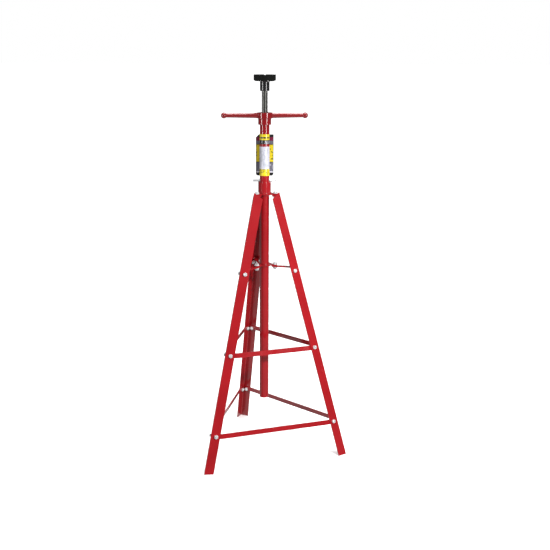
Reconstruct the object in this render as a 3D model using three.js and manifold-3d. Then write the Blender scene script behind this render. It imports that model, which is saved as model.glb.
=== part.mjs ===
// High-reach tripod stand: three angle-iron legs braced with flat bar carry a collar, a pinned
// post slides in it, and a spin handle on a ball bearing raises a screw with a padded saddle.
// Millimetres, +Z up. The floor is Z = 0, and the stand faces -Y with its back leg towards +Y.

import * as THREE from "three";
import { mergeVertices } from "three/addons/utils/BufferGeometryUtils.js";
import Module from "manifold-3d";

const wasm = await Module();
wasm.setup();

// ---- driving dimensions ----------------------------------------------------------------

const GAP = 0.3; // clearance between pieces that rest on each other
const degrees = THREE.MathUtils.degToRad;

// tripod
const LEG_AZIMUTHS = { left: -150, right: -30, back: 90 };
const FOOT_RADIUS = 359; // outer corner of a foot, from the post's axis
const HEAD_RADIUS = 64; // outer corner of a leg at the head
const HEAD_HEIGHT = 1102; // height where a leg's corner is at HEAD_RADIUS
const LEAN = Math.atan((FOOT_RADIUS - HEAD_RADIUS) / HEAD_HEIGHT);
const LEG_LENGTH = 1152.5; // along the outer corner
const LEG_TOP_SLOPE = 0.7; // how steeply the flanges are cut down from the corner at the top
const ANGLE_WIDTH = 38.1;
const ANGLE_WALL = 3.2;
const ANGLE_FILLET = 3;
const ANGLE_HEEL = 0.8; // radius on the outer corner

// bolts, 3/8 inch, and their holes
const BOLT_D = 9.5;
const BOLT_HOLE_D = 10.3;
const BOLT_FLATS = 14.3;
const BOLT_HEAD = 6;
const BOLT_NUT = 6.4;
const BOLT_END = 2.2; // thread showing past the nut
const WASHER_D = 20.6;
const WASHER_T = 1.6;
const BOLT_FROM_CORNER = 22; // along a leg's flange
const DRILL = { bottom: -30, top: 10 }; // along a flange bolt's axis, right through what it joins

// braces between the legs
const BRACE_HEIGHTS = { lower: 151, upper: 473 };
const BRACE_WIDTH = 20;
const BRACE_T = 3.2;
const BRACE_END = 10; // bar past the bolt, towards the leg's corner
const BRACE_TAB = 26; // bar before the bend, away from the corner

// three-lobed plates at the head and at the guide
const PLATE_RADIUS = 31;
const LOBE_RADIUS = 8.2;
const LUG_RADIUS = 45; // bolt circle
const LOBE_BLEND = 6; // degrees between a lobe and the disc, bridged by a straight edge
const HEAD_PLATE = { bottom: 1100.5, top: 1106.5 };
const GUIDE_PLATE = { bottom: 809, top: 814 };
const TAB_T = 5;
const TAB_INNER = 34;
const TAB_SHOULDER = 44; // outward of this the tab narrows into the leg's corner
const TAB_BLUNT = 1.5;

// guide arms and the angle brackets that hold them
const ARM_WIDTH = 16;
const ARM_T = 5;
const ARM_INNER = 30;
const ARM_OUTER = 128.4;
const BRACKET_WIDTH = 30;
const BRACKET_T = 3;
const BRACKET_FILLET = 0.6;
const BRACKET_DROP = 21;
const BRACKET_BELOW_ARM = 2;
const GUIDE_BOLT_HEIGHT = 794.5;

// collar and post
const POST_R = 19.05;
const POST_WALL = 3.2;
const POST_BOTTOM = 232;
const POST_TOP = 1386;
const POST_FIT = 0.5; // radial clearance in the plates and the collar
const COLLAR_R = 25.4;
const COLLAR_TOP = 1151.2;
const POST_TURN = -19; // azimuth of the pin holes
const PIN_HEIGHT = 1157;
const PIN_HOLE_D = 12;
const PIN_HOLE_PITCH = 150;
const PIN_HOLE_COUNT = 5;

// lock pin and its ring
const PIN_D = 11;
const PIN_TIP = -47;
const PIN_END = 31;
const PIN_CHAMFER = 2; // at the tip
const PIN_END_CHAMFER = 1;
const RING_HOLE_D = 4.8;
const RING_HOLE_X = 27;
const RING_R = 9;
const RING_WIRE_D = 2;
const RING_PLAY = 1.1; // how far the wire sits inward of the hole's centre

// bearing and spin handle
const CUP_R = 25.65;
const CUP_BOTTOM = 1378;
const CUP_TOP = 1401.3;
const CUP_FLOOR_T = 3;
const POCKET_R = 22.4;
const RACE_R = 22;
const RACE_T = 3.2;
const BALL_D = 5;
const BALL_COUNT = 12;
const BALL_CIRCLE_R = 17.6;
const CAGE_T = 1.8;
const CAGE_R = { inner: 14.2, outer: 21.2 };
const HUB_R = 29.2;
const HUB_HEIGHT = 23;
const HUB_EDGE = { bottom: 1.5, top: 2 }; // chamfers
const ARM_IN_HUB = 8; // how far an arm runs into the hub
const HANDLE_TURN = -11.6; // azimuth of the arms
const HANDLE_ROOT_R = 10.6;
const HANDLE_TIP_R = 8;
const HANDLE_BALL_R = 11.5;
const HANDLE_REACH = 172.5; // from the axis to the far side of a ball

// screw and saddle
const SCREW_R = 12.7;
const SCREW_FIT = 0.5; // radial clearance in the handle, the bearing and the cup
const SCREW_RISE = 76.2; // lift left before the stop ring meets the cup
const SCREW_TOP = 1540;
const SCREW_CHAMFER = 1.5;
const STOP_R = 15.2;
const STOP_HEIGHT = 9;
const STOP_STEP = 2.2; // how much thinner the screw is where the stop ring sits
const SOCKET_R = 18.75;
const SOCKET_FIT = 0.4;
const SOCKET_EDGE = 1;
const SOCKET_BOTTOM = 1508;
const SADDLE_PLATE_R = 38;
const SADDLE_PLATE = { bottom: 1545, top: 1549 };
const PAD_R = 43.5;
const PAD_BOTTOM = 1547.5;
const PAD_TOP = 1570.5;
const PAD_EDGE = 1.5;
const GROOVE_WIDTH = 9;
const GROOVE_DEPTH = 3.5;

// labels
const LABEL_T = 0.6;
const STICKER = { bottom: 1177.2, top: 1341.5, halfAngle: 100 };
const CARD = { bottom: 1173.8, top: 1338.1, width: 70.4, corner: 9, cut: 12 };

const ROUND = 28; // facets on turned pieces
const HOLE_FACETS = 10;
const RING_HOLE_FACETS = 14;
const ROD_FACETS = 16; // facets on handle arms, the lock pin and washers

// ---- materials -------------------------------------------------------------------------

const paint = new THREE.MeshStandardMaterial({ color: 0xb81c22, roughness: 0.28, metalness: 0.1 });
const zinc = new THREE.MeshStandardMaterial({ color: 0xc9ccd0, roughness: 0.3, metalness: 1 });
const chrome = new THREE.MeshStandardMaterial({ color: 0xe6e8ea, roughness: 0.12, metalness: 1 });
const steel = new THREE.MeshStandardMaterial({ color: 0x8b8b88, roughness: 0.32, metalness: 1 });
const blackPaint = new THREE.MeshStandardMaterial({ color: 0x141414, roughness: 0.22, metalness: 0.2 });
const rubber = new THREE.MeshStandardMaterial({ color: 0x1b1c1b, roughness: 0.85, metalness: 0 });
const stickerPaper = new THREE.MeshStandardMaterial({ color: 0xeeeef2, roughness: 0.4, metalness: 0 });
const cardPaper = new THREE.MeshStandardMaterial({ color: 0x8a8a9c, roughness: 0.45, metalness: 0 });

// ---- shapes ----------------------------------------------------------------------------

// A closed geometry as a solid that can be joined and cut.
function toSolid(geometry) {
  const bare = geometry.clone();
  bare.deleteAttribute("normal");
  bare.deleteAttribute("uv");
  const welded = mergeVertices(bare, 1e-4);
  const index = welded.index.array;
  const triangles = [];
  for (let i = 0; i < index.length; i += 3) {
    const [a, b, c] = index.slice(i, i + 3);
    if (a !== b && b !== c && c !== a) triangles.push(a, b, c);
  }
  const vertProperties = new Float32Array(welded.attributes.position.array);
  const triVerts = new Uint32Array(triangles);
  return new wasm.Manifold(new wasm.Mesh({ numProp: 3, vertProperties, triVerts }));
}

function toGeometry(solid) {
  const mesh = solid.getMesh();
  const geometry = new THREE.BufferGeometry();
  geometry.setAttribute("position", new THREE.BufferAttribute(mesh.vertProperties, 3));
  geometry.setIndex(new THREE.BufferAttribute(mesh.triVerts, 1));
  geometry.computeVertexNormals();
  return geometry;
}

function joined(...geometries) {
  return toGeometry(geometries.map(toSolid).reduce((whole, next) => whole.add(next)));
}

function cut(geometry, ...tools) {
  return toGeometry(tools.map(toSolid).reduce((rest, tool) => rest.subtract(tool), toSolid(geometry)));
}

// A round bar along Z.
function bar(radius, bottom, top, facets = ROUND) {
  const geometry = new THREE.CylinderGeometry(radius, radius, top - bottom, facets);
  return geometry.rotateX(Math.PI / 2).translate(0, 0, (bottom + top) / 2);
}

function hexagon(flats, bottom, top) {
  return bar(flats / Math.sqrt(3), bottom, top, 6);
}

// A body turned about Z from a profile of [radius, height] points.
function turned(profile, facets = ROUND) {
  const points = profile.map(([radius, height]) => new THREE.Vector2(radius, height));
  return new THREE.LatheGeometry(points, facets).rotateX(Math.PI / 2);
}

// A tube or washer about Z, its profile walked so that its faces point out.
function ring(inner, outer, bottom, top, facets = ROUND) {
  return turned([[inner, top], [inner, bottom], [outer, bottom], [outer, top], [inner, top]], facets);
}

// A flat plate of a given outline, between two heights.
function plate(shape, bottom, top, curveSegments = 6) {
  const options = { depth: top - bottom, bevelEnabled: false, curveSegments };
  return new THREE.ExtrudeGeometry(shape, options).translate(0, 0, bottom);
}

function circleHole(x, y, diameter) {
  return new THREE.Path().absarc(x, y, diameter / 2, 0, 2 * Math.PI, true);
}

function piece(name, geometry, material) {
  const mesh = new THREE.Mesh(geometry, material);
  mesh.name = name;
  return mesh;
}

// ---- fasteners -------------------------------------------------------------------------

// A hexagon bolt with its nut. Its head bears on Z = 0 from above and its nut on Z = -grip.
function bolt(name, grip, washers) {
  const face = GAP;
  const back = -grip - GAP;
  const seat = washers ? WASHER_T : 0;
  const solids = [
    hexagon(BOLT_FLATS, face + seat, face + seat + BOLT_HEAD),
    bar(BOLT_D / 2, back - seat - BOLT_NUT - BOLT_END, face + seat + 1, HOLE_FACETS),
    hexagon(BOLT_FLATS, back - seat - BOLT_NUT, back - seat),
  ];
  if (washers) {
    solids.push(bar(WASHER_D / 2, face, face + seat + 0.5, ROD_FACETS));
    solids.push(bar(WASHER_D / 2, back - seat - 0.5, back, ROD_FACETS));
  }
  return piece(name, joined(...solids), zinc);
}

// ---- legs ------------------------------------------------------------------------------
// A leg is drawn upright with its outer corner on Z, X outward, and its two flanges at 45
// degrees to X. legGroup then leans it in towards the head.

const DIAGONAL = Math.SQRT1_2;

// Distance along a leg's corner of the point of a flange bolt that is at a given height.
function alongLeg(height) {
  return (height + BOLT_FROM_CORNER * DIAGONAL * Math.sin(LEAN)) / Math.cos(LEAN);
}

// An angle section inside the leg's outer faces, which meet on the origin, set in from them.
function angleShape({ width, wall, inset, fillet, heel }) {
  const shape = new THREE.Shape();
  const start = -inset;
  shape.absarc(start - heel, start - heel, heel, Math.PI / 2, 0, true);
  shape.lineTo(start, start - width);
  shape.lineTo(start - wall, start - width);
  shape.lineTo(start - wall, start - wall - fillet);
  shape.absarc(start - wall - fillet, start - wall - fillet, fillet, 0, Math.PI / 2, false);
  shape.lineTo(start - width, start - wall);
  shape.lineTo(start - width, start);
  shape.closePath();
  return shape;
}

// The hole for a flange bolt, through all that it joins.
function boltHole(matrix) {
  return bar(BOLT_HOLE_D / 2, DRILL.bottom, DRILL.top, HOLE_FACETS).applyMatrix4(matrix);
}

function flangeHole(side, height) {
  return boltHole(flangeBoltMatrix(side, height));
}

// Places a bolt's axis on a flange: side +1 is the flange on the leg's +Y side.
function flangeBoltMatrix(side, height) {
  const matrix = new THREE.Matrix4().makeRotationZ((side * Math.PI) / 4);
  matrix.multiply(new THREE.Matrix4().makeRotationY(Math.PI / 2));
  const place = BOLT_FROM_CORNER * DIAGONAL;
  matrix.setPosition(-place, side * place, alongLeg(height));
  return matrix;
}

const FLANGE_BOLT_HEIGHTS = [...Object.values(BRACE_HEIGHTS), GUIDE_BOLT_HEIGHT];

function legGeometry() {
  const shape = angleShape({
    width: ANGLE_WIDTH,
    wall: ANGLE_WALL,
    inset: 0,
    fillet: ANGLE_FILLET,
    heel: ANGLE_HEEL,
  });
  const geometry = plate(shape, 0, LEG_LENGTH, 3).rotateZ(-Math.PI / 4);
  const points = geometry.attributes.position;
  for (let i = 0; i < points.count; i += 1) {
    // the foot is cut level with the floor, and the top slopes down from the corner
    if (points.getZ(i) === 0) points.setZ(i, -points.getX(i) * Math.tan(LEAN));
    if (points.getZ(i) === LEG_LENGTH) points.setZ(i, LEG_LENGTH + points.getX(i) * LEG_TOP_SLOPE);
  }
  const holes = FLANGE_BOLT_HEIGHTS.flatMap((height) => [flangeHole(1, height), flangeHole(-1, height)]);
  return cut(geometry, ...holes);
}

function bracketGeometry() {
  const shape = angleShape({
    width: BRACKET_WIDTH,
    wall: BRACKET_T,
    inset: ANGLE_WALL + GAP,
    fillet: BRACKET_FILLET,
    heel: BRACKET_FILLET + BRACKET_T,
  });
  const armUnderside = GUIDE_PLATE.bottom - ARM_T;
  const top = alongLeg(GUIDE_BOLT_HEIGHT) + armUnderside - GUIDE_BOLT_HEIGHT - BRACKET_BELOW_ARM;
  const geometry = plate(shape, top - BRACKET_DROP, top, 2).rotateZ(-Math.PI / 4);
  return cut(geometry, flangeHole(1, GUIDE_BOLT_HEIGHT), flangeHole(-1, GUIDE_BOLT_HEIGHT));
}

function flangeBolt(name, side, height, innerThickness) {
  const fastener = bolt(name, ANGLE_WALL + GAP + innerThickness, false);
  fastener.applyMatrix4(flangeBoltMatrix(side, height));
  return fastener;
}

// One leg with all that is bolted to its flanges, leaning from its foot to the head.
function legGroup(where) {
  const leaning = new THREE.Group();
  leaning.position.set(FOOT_RADIUS, 0, 0);
  leaning.rotation.y = -LEAN;
  leaning.add(piece(`leg_${where}`, legGeometry(), paint));
  leaning.add(piece(`guide_bracket_${where}`, bracketGeometry(), paint));
  for (const [hand, side] of [["a", 1], ["b", -1]]) {
    leaning.add(flangeBolt(`guide_bracket_bolt_${where}_${hand}`, side, GUIDE_BOLT_HEIGHT, BRACKET_T));
    for (const [level, height] of Object.entries(BRACE_HEIGHTS)) {
      leaning.add(flangeBolt(`brace_bolt_${level}_${where}_${hand}`, side, height, BRACE_T));
    }
  }
  return leaning;
}

// ---- braces ----------------------------------------------------------------------------

function legMatrix(azimuth) {
  const matrix = new THREE.Matrix4().makeRotationZ(degrees(azimuth));
  matrix.multiply(new THREE.Matrix4().makeTranslation(FOOT_RADIUS, 0, 0));
  return matrix.multiply(new THREE.Matrix4().makeRotationY(-LEAN));
}

// Where a brace lies on a flange: its bolt's place, the flange's outward normal, the level
// direction away from the leg's corner, and the direction up the bar's width.
function braceSeat(azimuth, side, height) {
  const bolted = legMatrix(azimuth).multiply(flangeBoltMatrix(side, height));
  const normal = new THREE.Vector3().setFromMatrixColumn(bolted, 2);
  const place = new THREE.Vector3().setFromMatrixPosition(bolted);
  place.addScaledVector(normal, -(ANGLE_WALL + GAP + BRACE_T / 2));
  const level = new THREE.Vector3(-normal.y, normal.x, 0).normalize().multiplyScalar(side);
  const up = new THREE.Vector3().crossVectors(normal, level).multiplyScalar(side).normalize();
  return { bolted, normal, place, level, up };
}

// A flat bar through stations, each a centre with its thickness and width directions.
function bentBar(stations, thickness, width) {
  const corners = [[1, 1], [-1, 1], [-1, -1], [1, -1]];
  const points = stations.flatMap(({ centre, normal, up }) =>
    corners.map(([n, u]) =>
      centre.clone().addScaledVector(normal, (n * thickness) / 2).addScaledVector(up, (u * width) / 2),
    ),
  );
  const faces = [0, 1, 2, 0, 2, 3];
  for (let s = 0; s < stations.length - 1; s += 1) {
    for (let c = 0; c < 4; c += 1) {
      const [a, b] = [4 * s + c, 4 * s + ((c + 1) % 4)];
      faces.push(a, b + 4, b, a, a + 4, b + 4);
    }
  }
  const last = 4 * (stations.length - 1);
  faces.push(last, last + 2, last + 1, last, last + 3, last + 2);
  const geometry = new THREE.BufferGeometry().setFromPoints(points);
  geometry.setIndex(faces);
  return geometry;
}

// The front brace of a level, from the left leg to the right leg, bent to lie on their flanges.
function braceGeometry(height) {
  const left = braceSeat(LEG_AZIMUTHS.left, 1, height);
  const right = braceSeat(LEG_AZIMUTHS.right, -1, height);
  const middle = {
    normal: left.normal.clone().add(right.normal).normalize(),
    up: left.up.clone().add(right.up).normalize(),
  };
  const station = (seat, along, between) => ({
    centre: seat.place.clone().addScaledVector(seat.level, along),
    normal: seat.normal.clone().add(between.normal).normalize(),
    up: seat.up.clone().add(between.up).normalize(),
  });
  const stations = [
    station(left, -BRACE_END, left),
    station(left, BRACE_TAB, middle),
    station(right, BRACE_TAB, middle),
    station(right, -BRACE_END, right),
  ];
  const holes = [left, right].map((seat) => boltHole(seat.bolted));
  return cut(bentBar(stations, BRACE_T, BRACE_WIDTH), ...holes);
}

function braceGroup(where, turn) {
  const group = new THREE.Group();
  group.rotation.z = degrees(turn);
  for (const [level, height] of Object.entries(BRACE_HEIGHTS)) {
    group.add(piece(`brace_${level}_${where}`, braceGeometry(height), paint));
  }
  return group;
}

// ---- head and guide --------------------------------------------------------------------

// A disc with a lobe towards each leg, bored for the post and drilled for three bolts.
function lobedPlate({ bottom, top }) {
  const shape = new THREE.Shape();
  const lobeHalfAngle = Math.asin(LOBE_RADIUS / PLATE_RADIUS) + degrees(LOBE_BLEND);
  for (const azimuth of Object.values(LEG_AZIMUTHS).map(degrees)) {
    const [x, y] = [LUG_RADIUS * Math.cos(azimuth), LUG_RADIUS * Math.sin(azimuth)];
    shape.absarc(x, y, LOBE_RADIUS, azimuth - Math.PI / 2, azimuth + Math.PI / 2, false);
    const third = (2 * Math.PI) / 3;
    shape.absarc(0, 0, PLATE_RADIUS, azimuth + lobeHalfAngle, azimuth + third - lobeHalfAngle, false);
    shape.holes.push(circleHole(x, y, BOLT_HOLE_D));
  }
  shape.closePath();
  const blank = plate(shape, bottom, top);
  return cut(blank, bar(POST_R + POST_FIT, bottom - 1, top + 1));
}

// The radius where the inside corner of a leg is at a given height.
function insideCorner(height) {
  return FOOT_RADIUS - height * Math.tan(LEAN) - (ANGLE_WALL * Math.SQRT2) / Math.cos(LEAN);
}

// The tab that closes the top of a leg's angle and takes the head bolt.
function legTabGeometry() {
  const top = HEAD_PLATE.bottom - GAP;
  const tip = insideCorner(top) - 2 * GAP;
  const spread = Math.cos(LEAN); // half width of the angle for each unit in from its corner
  const [inner, shoulder, outer] = [TAB_INNER, TAB_SHOULDER, tip - TAB_BLUNT];
  const halfWidth = (radius) => (tip - radius) * spread;
  const shape = new THREE.Shape([
    new THREE.Vector2(inner, -halfWidth(shoulder)),
    new THREE.Vector2(shoulder, -halfWidth(shoulder)),
    new THREE.Vector2(outer, -halfWidth(outer)),
    new THREE.Vector2(outer, halfWidth(outer)),
    new THREE.Vector2(shoulder, halfWidth(shoulder)),
    new THREE.Vector2(inner, halfWidth(shoulder)),
  ]);
  shape.holes.push(circleHole(LUG_RADIUS, 0, BOLT_HOLE_D));
  return plate(shape, top - TAB_T, top);
}

function guideArmGeometry() {
  const half = ARM_WIDTH / 2;
  const shape = new THREE.Shape();
  shape.moveTo(ARM_OUTER, -half);
  shape.lineTo(ARM_OUTER, half);
  shape.absarc(ARM_INNER + half, 0, half, Math.PI / 2, (3 * Math.PI) / 2, false);
  shape.closePath();
  shape.holes.push(circleHole(LUG_RADIUS, 0, BOLT_HOLE_D));
  const top = GUIDE_PLATE.bottom - GAP;
  return plate(shape, top - ARM_T, top);
}

// What each leg direction carries at the head and at the guide.
function spokeGroup(where) {
  const spoke = new THREE.Group();
  spoke.add(piece(`leg_tab_${where}`, legTabGeometry(), paint));
  spoke.add(piece(`guide_arm_${where}`, guideArmGeometry(), paint));
  const headBolt = bolt(`head_bolt_${where}`, HEAD_PLATE.top - HEAD_PLATE.bottom + GAP + TAB_T, true);
  headBolt.position.set(LUG_RADIUS, 0, HEAD_PLATE.top);
  const guideBolt = bolt(`guide_bolt_${where}`, GUIDE_PLATE.top - GUIDE_PLATE.bottom + GAP + ARM_T, true);
  guideBolt.position.set(LUG_RADIUS, 0, GUIDE_PLATE.top);
  spoke.add(headBolt, guideBolt);
  return spoke;
}

// ---- post ------------------------------------------------------------------------------

function postTube() {
  const tube = ring(POST_R - POST_WALL, POST_R, POST_BOTTOM, POST_TOP);
  const holes = Array.from({ length: PIN_HOLE_COUNT }, (_, i) =>
    bar(PIN_HOLE_D / 2, -2 * POST_R, 2 * POST_R, HOLE_FACETS)
      .rotateY(Math.PI / 2)
      .translate(0, 0, PIN_HEIGHT - i * PIN_HOLE_PITCH),
  );
  return piece("post_tube", cut(tube, ...holes), paint);
}

// The sticker wraps the front of the post, and is drawn facing -Y.
function postSticker() {
  const inner = POST_R + GAP;
  const outer = inner + LABEL_T;
  const [from, to] = [-90 - STICKER.halfAngle, -90 + STICKER.halfAngle].map(degrees);
  const shape = new THREE.Shape();
  shape.absarc(0, 0, outer, from, to, false);
  shape.absarc(0, 0, inner, to, from, true);
  shape.closePath();
  return piece("post_sticker", plate(shape, STICKER.bottom, STICKER.top, 12), stickerPaper);
}

// The printed card stands flat against the back of the post.
function labelCard() {
  const half = CARD.width / 2;
  const shape = new THREE.Shape();
  shape.moveTo(-half, CARD.top - CARD.cut);
  shape.lineTo(-half, CARD.bottom + CARD.corner);
  shape.absarc(-half + CARD.corner, CARD.bottom + CARD.corner, CARD.corner, Math.PI, 1.5 * Math.PI, false);
  shape.absarc(half - CARD.corner, CARD.bottom + CARD.corner, CARD.corner, 1.5 * Math.PI, 2 * Math.PI, false);
  shape.lineTo(half, CARD.top);
  shape.lineTo(-half + CARD.cut, CARD.top);
  shape.closePath();
  const geometry = plate(shape, 0, LABEL_T).rotateX(Math.PI / 2);
  return piece("label_card", geometry.translate(0, POST_R + GAP + LABEL_T, 0), cardPaper);
}

// ---- bearing and handle ----------------------------------------------------------------

const CUP_FLOOR = POST_TOP + GAP;
const LOWER_RACE = CUP_FLOOR + CUP_FLOOR_T + GAP;
const BALLS = LOWER_RACE + RACE_T + GAP;
const UPPER_RACE = BALLS + BALL_D + GAP;
const HUB_BOTTOM = UPPER_RACE + RACE_T + GAP;
const HUB_TOP = HUB_BOTTOM + HUB_HEIGHT;
const SCREW_BOTTOM = CUP_FLOOR - SCREW_RISE - GAP - STOP_HEIGHT;

function bearingCup() {
  const bore = SCREW_R + SCREW_FIT;
  return piece(
    "bearing_cup",
    turned([
      [bore, CUP_FLOOR],
      [POST_R + GAP, CUP_FLOOR],
      [POST_R + GAP, CUP_BOTTOM],
      [CUP_R, CUP_BOTTOM],
      [CUP_R, CUP_TOP],
      [POCKET_R, CUP_TOP],
      [POCKET_R, CUP_FLOOR + CUP_FLOOR_T],
      [bore, CUP_FLOOR + CUP_FLOOR_T],
      [bore, CUP_FLOOR],
    ]),
    paint,
  );
}

function race(name, bottom) {
  return piece(name, ring(SCREW_R + SCREW_FIT, RACE_R, bottom, bottom + RACE_T), steel);
}

// The cage is a flat ring with its balls held in it.
function ballCage() {
  const middle = BALLS + BALL_D / 2;
  const cage = ring(CAGE_R.inner, CAGE_R.outer, middle - CAGE_T / 2, middle + CAGE_T / 2);
  const balls = Array.from({ length: BALL_COUNT }, (_, i) => {
    const azimuth = (2 * Math.PI * i) / BALL_COUNT;
    const ball = new THREE.SphereGeometry(BALL_D / 2, 8, 4).rotateX(Math.PI / 2);
    return ball.translate(BALL_CIRCLE_R * Math.cos(azimuth), BALL_CIRCLE_R * Math.sin(azimuth), middle);
  });
  return piece("bearing_ball_cage", joined(cage, ...balls), steel);
}

// The spin handle is one casting: a threaded hub with two tapered arms that end in balls.
function spinHandle() {
  const middle = HUB_BOTTOM + HUB_HEIGHT / 2;
  const hub = turned([
    [0, HUB_BOTTOM],
    [HUB_R - HUB_EDGE.bottom, HUB_BOTTOM],
    [HUB_R, HUB_BOTTOM + HUB_EDGE.bottom],
    [HUB_R, HUB_TOP - HUB_EDGE.top],
    [HUB_R - HUB_EDGE.top, HUB_TOP],
    [0, HUB_TOP],
  ]);
  const ballCentre = HANDLE_REACH - HANDLE_BALL_R;
  const arms = [1, -1].flatMap((side) => {
    const start = HUB_R - ARM_IN_HUB;
    const arm = new THREE.CylinderGeometry(HANDLE_TIP_R, HANDLE_ROOT_R, ballCentre - start, ROD_FACETS);
    arm.rotateZ(-Math.PI / 2).translate((ballCentre + start) / 2, 0, middle);
    const ball = new THREE.SphereGeometry(HANDLE_BALL_R, ROD_FACETS, 8).translate(ballCentre, 0, middle);
    return [arm, ball].map((geometry) => geometry.rotateZ(side === 1 ? 0 : Math.PI));
  });
  const bore = bar(SCREW_R + SCREW_FIT, HUB_BOTTOM - 1, HUB_TOP + 1);
  return piece("spin_handle", cut(joined(hub, ...arms), bore), paint);
}

// ---- screw and saddle ------------------------------------------------------------------

function liftScrew() {
  const shoulder = SCREW_BOTTOM + STOP_HEIGHT + GAP;
  const profile = [
    [0, SCREW_BOTTOM],
    [SCREW_R - STOP_STEP, SCREW_BOTTOM],
    [SCREW_R - STOP_STEP, shoulder],
    [SCREW_R, shoulder],
    [SCREW_R, SCREW_TOP - SCREW_CHAMFER],
    [SCREW_R - SCREW_CHAMFER, SCREW_TOP],
    [0, SCREW_TOP],
  ];
  return piece("lift_screw", turned(profile), steel);
}

// The ring pinned on the foot of the screw, which keeps the screw from being wound out.
function stopRing() {
  const geometry = ring(SCREW_R - STOP_STEP + GAP, STOP_R, SCREW_BOTTOM, SCREW_BOTTOM + STOP_HEIGHT);
  return piece("screw_stop_ring", geometry, steel);
}

function saddleSocket() {
  const bore = SCREW_R + SOCKET_FIT;
  const profile = [
    [0, SCREW_TOP + GAP],
    [bore, SCREW_TOP + GAP],
    [bore, SOCKET_BOTTOM],
    [SOCKET_R - SOCKET_EDGE, SOCKET_BOTTOM],
    [SOCKET_R, SOCKET_BOTTOM + SOCKET_EDGE],
    [SOCKET_R, SADDLE_PLATE.bottom],
    [SADDLE_PLATE_R, SADDLE_PLATE.bottom],
    [SADDLE_PLATE_R, SADDLE_PLATE.top],
    [0, SADDLE_PLATE.top],
  ];
  return piece("saddle_socket", turned(profile), blackPaint);
}

// The pad is moulded over the saddle's plate, with two crossed V grooves in its top.
function saddlePad() {
  const recess = SADDLE_PLATE_R + GAP;
  const seat = SADDLE_PLATE.top + GAP;
  const disc = turned([
    [0, seat],
    [recess, seat],
    [recess, PAD_BOTTOM],
    [PAD_R - PAD_EDGE, PAD_BOTTOM],
    [PAD_R, PAD_BOTTOM + PAD_EDGE],
    [PAD_R, PAD_TOP - PAD_EDGE],
    [PAD_R - PAD_EDGE, PAD_TOP],
    [0, PAD_TOP],
  ]);
  const vee = new THREE.Shape([
    new THREE.Vector2(-GROOVE_WIDTH, GROOVE_DEPTH),
    new THREE.Vector2(0, -GROOVE_DEPTH),
    new THREE.Vector2(GROOVE_WIDTH, GROOVE_DEPTH),
  ]);
  const groove = plate(vee, -PAD_R - 1, PAD_R + 1).rotateX(Math.PI / 2).translate(0, 0, PAD_TOP);
  return piece("saddle_pad", cut(disc, groove, groove.clone().rotateZ(Math.PI / 2)), rubber);
}

// ---- lock pin --------------------------------------------------------------------------

function lockPin() {
  const radius = PIN_D / 2;
  const profile = [
    [0, PIN_TIP],
    [radius - PIN_CHAMFER, PIN_TIP],
    [radius, PIN_TIP + PIN_CHAMFER],
    [radius, PIN_END - PIN_END_CHAMFER],
    [radius - PIN_END_CHAMFER, PIN_END],
    [0, PIN_END],
  ];
  const shaft = turned(profile, ROD_FACETS).rotateY(Math.PI / 2);
  const ringHole = bar(RING_HOLE_D / 2, -PIN_D, PIN_D, RING_HOLE_FACETS).translate(RING_HOLE_X, 0, 0);
  return piece("lock_pin", cut(shaft, ringHole), chrome);
}

function pinRing() {
  const geometry = new THREE.TorusGeometry(RING_R, RING_WIRE_D / 2, 8, 24);
  geometry.rotateX(Math.PI / 2).translate(RING_HOLE_X - RING_PLAY + RING_R, 0, 0);
  return piece("pin_ring", geometry, chrome);
}

// ---- assembly --------------------------------------------------------------------------

function tripod() {
  const group = new THREE.Group();
  for (const [where, azimuth] of Object.entries(LEG_AZIMUTHS)) {
    const direction = new THREE.Group();
    direction.rotation.z = degrees(azimuth);
    direction.add(legGroup(where), spokeGroup(where));
    group.add(direction);
  }
  group.add(braceGroup("front", 0), braceGroup("right", 120), braceGroup("left", -120));
  group.add(piece("head_plate", lobedPlate(HEAD_PLATE), paint));
  group.add(piece("guide_plate", lobedPlate(GUIDE_PLATE), paint));
  const collar = ring(POST_R + POST_FIT, COLLAR_R, HEAD_PLATE.top + GAP, COLLAR_TOP);
  group.add(piece("head_collar", collar, paint));
  return group;
}

function lockPinGroup() {
  const group = new THREE.Group();
  group.position.set(0, 0, PIN_HEIGHT);
  group.add(lockPin(), pinRing());
  return group;
}

// The post with all that rides on it, turned in the collar.
function postGroup() {
  const group = new THREE.Group();
  group.rotation.z = degrees(POST_TURN);
  group.add(postTube(), postSticker(), labelCard(), lockPinGroup());
  group.add(bearingCup(), race("bearing_lower_race", LOWER_RACE));
  group.add(ballCage(), race("bearing_upper_race", UPPER_RACE));
  group.add(liftScrew(), stopRing(), saddleSocket(), saddlePad());
  const handle = spinHandle();
  handle.rotation.z = degrees(HANDLE_TURN - POST_TURN);
  group.add(handle);
  return group;
}

const stand = new THREE.Group();
stand.add(tripod(), postGroup());

// The origin is the middle of the stand's plan, on the floor, so the post's axis is in front of it.
stand.updateMatrixWorld(true);
const footprint = new THREE.Box3().setFromObject(stand, true);
stand.position.y = -(footprint.min.y + footprint.max.y) / 2;

export default stand;
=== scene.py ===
# High-reach tripod stand: detailed meshes, paint, metal, rubber and printed labels round the
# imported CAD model. Metres, +Z up, in the frame of the CAD.

import math

import bmesh
import bpy
from mathutils import Matrix, Vector, noise


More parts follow.
